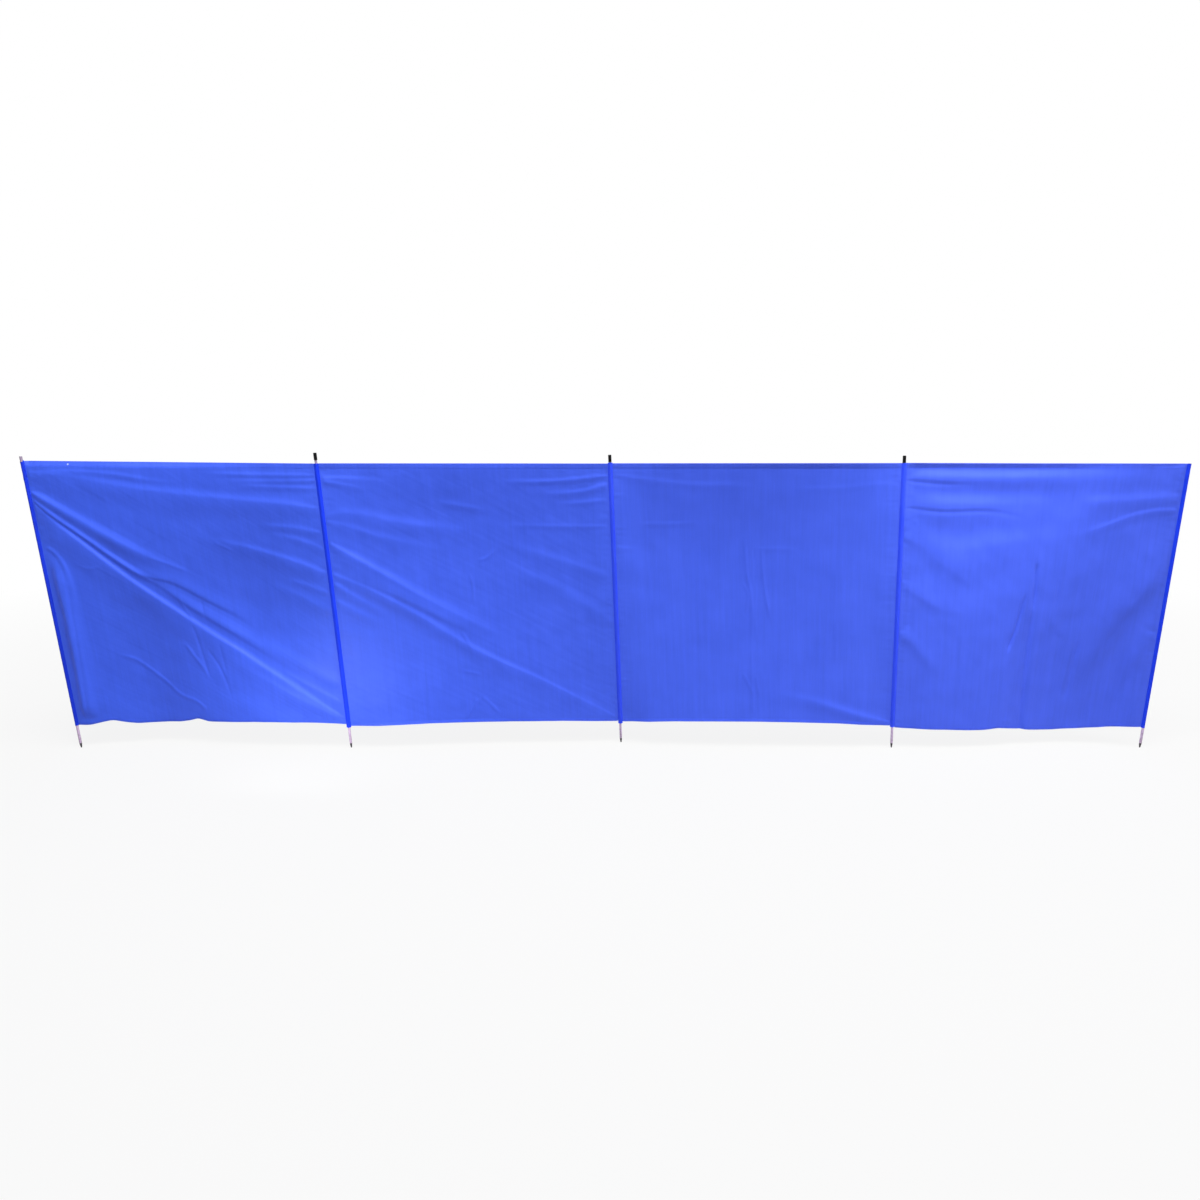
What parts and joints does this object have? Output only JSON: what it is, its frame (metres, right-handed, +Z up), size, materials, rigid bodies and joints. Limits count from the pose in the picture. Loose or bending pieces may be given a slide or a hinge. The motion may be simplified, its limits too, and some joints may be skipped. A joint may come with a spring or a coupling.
{
  "type": "beach windbreak",
  "caption": "Long blue cloth windbreak in flat bays, held up by thin tube poles in sewn sleeves, with blunt points that stand in the ground.",
  "frame": {"origin": "centre of the blunt end of the middle pole's point, where it meets the ground", "axes": "+X along the windbreak to the right as seen from the front, +Y out of the back of the cloth, +Z up"},
  "size_m": [4.9775, 0.075, 1.3441],
  "materials": {
    "cloth": "thin smooth woven polyester, slight sheen",
    "sleeve_cloth": "doubled woven polyester",
    "tube": "pale lilac-grey coated steel tube",
    "cap_plastic": "black moulded plastic",
    "point_plastic": "dark grey moulded plastic, scuffed"
  },
  "bodies": {
    "root": {"pole_1": "tube", "pole_2": "tube", "pole_3": "tube", "pole_4": "tube", "pole_5": "tube", "point_1": "point_plastic", "point_2": "point_plastic", "point_3": "point_plastic", "point_4": "point_plastic", "point_5": "point_plastic", "sleeve_1": "sleeve_cloth", "sleeve_2": "sleeve_cloth", "sleeve_3": "sleeve_cloth", "sleeve_4": "sleeve_cloth", "sleeve_5": "sleeve_cloth", "panel_1": "cloth", "panel_2": "cloth", "panel_3": "cloth", "panel_4": "cloth", "top_hem_1": "cloth", "top_hem_2": "cloth", "top_hem_3": "cloth", "top_hem_4": "cloth", "bottom_hem_1": "cloth", "bottom_hem_2": "cloth", "bottom_hem_3": "cloth", "bottom_hem_4": "cloth", "cap_2": "cap_plastic", "cap_3": "cap_plastic", "cap_4": "cap_plastic"}
  },
  "joints": []
}
